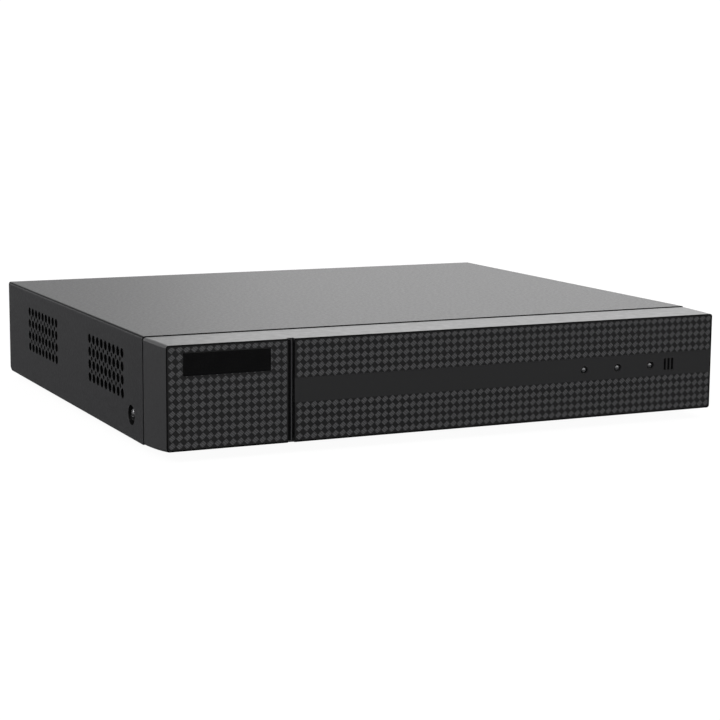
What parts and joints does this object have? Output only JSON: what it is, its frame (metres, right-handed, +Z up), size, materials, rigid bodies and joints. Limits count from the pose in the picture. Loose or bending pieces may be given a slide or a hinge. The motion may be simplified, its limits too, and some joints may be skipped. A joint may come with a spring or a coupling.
{
  "type": "video recorder",
  "caption": "Low flat steel-cased security video recorder with a diamond-weave plastic front, vented sides, rear sockets, disk drive and side fan",
  "frame": {"origin": "middle of the footprint (rear sockets included) on the surface the feet stand on", "axes": "+X to the right seen from the front, +Y from the front to the back, +Z up"},
  "size_m": [0.26, 0.24, 0.0475],
  "materials": {
    "case_paint": "fine-textured black powder coat on folded steel",
    "front_moulding": "satin black moulded plastic",
    "face_plate": "black plastic with a pressed diamond weave and a smooth band",
    "badge": "polished black, blank",
    "clear_lamp": "clear moulded light pipe",
    "black_screw": "black oxide on steel",
    "zinc_screw": "bright zinc plate",
    "foot_rubber": "matt moulded rubber",
    "circuit_board": "green solder mask on glass-fibre board",
    "black_component": "black moulding compound",
    "lamp_body": "pale plastic lamp package",
    "heatsink_metal": "extruded aluminium, natural finish",
    "capacitor_can": "aluminium can with a printed stripe",
    "coil_ferrite": "pressed grey ferrite",
    "cell_steel": "nickel-plated steel cell",
    "header_nylon": "cream nylon",
    "nickel": "bright nickel plate",
    "white_insulator": "white plastic insulator",
    "gold_contact": "gold-plated brass",
    "audio_shell": "bright tin plate",
    "audio_insulator": "red plastic insulator",
    "socket_shell": "tin-plated folded steel",
    "socket_blue": "blue plastic insert",
    "socket_black": "black plastic",
    "drive_casting": "grey cast aluminium with a dark coat",
    "drive_lid_steel": "stamped stainless steel",
    "platter": "polished aluminium disc",
    "arm_aluminium": "machined aluminium",
    "yoke_nickel": "nickel-plated steel yoke",
    "fan_plastic": "black glass-filled plastic",
    "lead_red": "red flexible jacket",
    "lead_black": "black flexible jacket"
  },
  "bodies": {
    "chassis": {"audio_socket_housing": "socket_black", "audio_socket_insulators": "audio_insulator", "audio_socket_shells": "audio_shell", "badge_plate": "badge", "base_tray": "case_paint", "board_chips": "black_component", "board_headers": "header_nylon", "board_screws": "zinc_screw", "board_standoffs": "zinc_screw", "buzzer": "black_component", "capacitors": "capacitor_can", "cell_holder": "socket_black", "clock_cell": "cell_steel", "drive_base": "drive_casting", "drive_board": "circuit_board", "drive_data_lead": "lead_red", "drive_lid": "drive_lid_steel", "drive_magnet_yoke": "yoke_nickel", "drive_power_lead": "lead_black", "drive_screws": "zinc_screw", "drive_socket": "socket_black", "fan_frame": "fan_plastic", "fan_lead": "lead_black", "fan_screws": "zinc_screw", "front_bezel": "front_moulding", "front_board": "circuit_board", "front_board_lead": "lead_black", "ground_screw": "zinc_screw", "hdmi_shell": "socket_shell", "heatsink": "heatsink_metal", "lan_insert": "socket_black", "lan_shell": "socket_shell", "lead_plugs": "header_nylon", "left_faceplate": "face_plate", "light_pipes": "clear_lamp", "main_board": "circuit_board", "power_coils": "coil_ferrite", "power_pin": "nickel", "power_socket": "socket_black", "right_faceplate": "face_plate", "rubber_feet": "foot_rubber", "socket_tongues": "socket_black", "status_lamps": "lamp_body", "usb_shell": "socket_shell", "vga_insert": "socket_blue", "vga_jack_screws": "zinc_screw", "vga_shell": "socket_shell", "video_socket_barrels": "nickel", "video_socket_contacts": "gold_contact", "video_socket_housings": "socket_black", "video_socket_insulators": "white_insulator", "video_socket_nuts": "nickel"},
    "cover": {"top_cover": "case_paint", "cover_side_screws": "black_screw", "cover_rear_screws": "black_screw", "side_screw_nuts": "zinc_screw"},
    "platters": {"drive_spindle": "arm_aluminium", "drive_platters": "platter"},
    "head_arm": {"drive_arm": "arm_aluminium"},
    "fan_wheel": {"fan_rotor": "fan_plastic"}
  },
  "joints": [
    {"name": "cover_slide", "type": "slide", "parent": "chassis", "child": "cover", "axis": [0, 1, 0], "range_m": [0, 0.2]},
    {"name": "platter_spin", "type": "hinge", "parent": "chassis", "child": "platters", "pos_m": [-0.0667, -0.0272, 0.012], "axis": [0, 0, 1], "continuous": true},
    {"name": "arm_swing", "type": "hinge", "parent": "chassis", "child": "head_arm", "pos_m": [-0.015, -0.0513, 0.012], "axis": [0, 0, 1], "range_deg": [0, 34]},
    {"name": "fan_spin", "type": "hinge", "parent": "chassis", "child": "fan_wheel", "pos_m": [0.1176, -0.0466, 0.025], "axis": [1, 0, 0], "continuous": true}
  ]
}
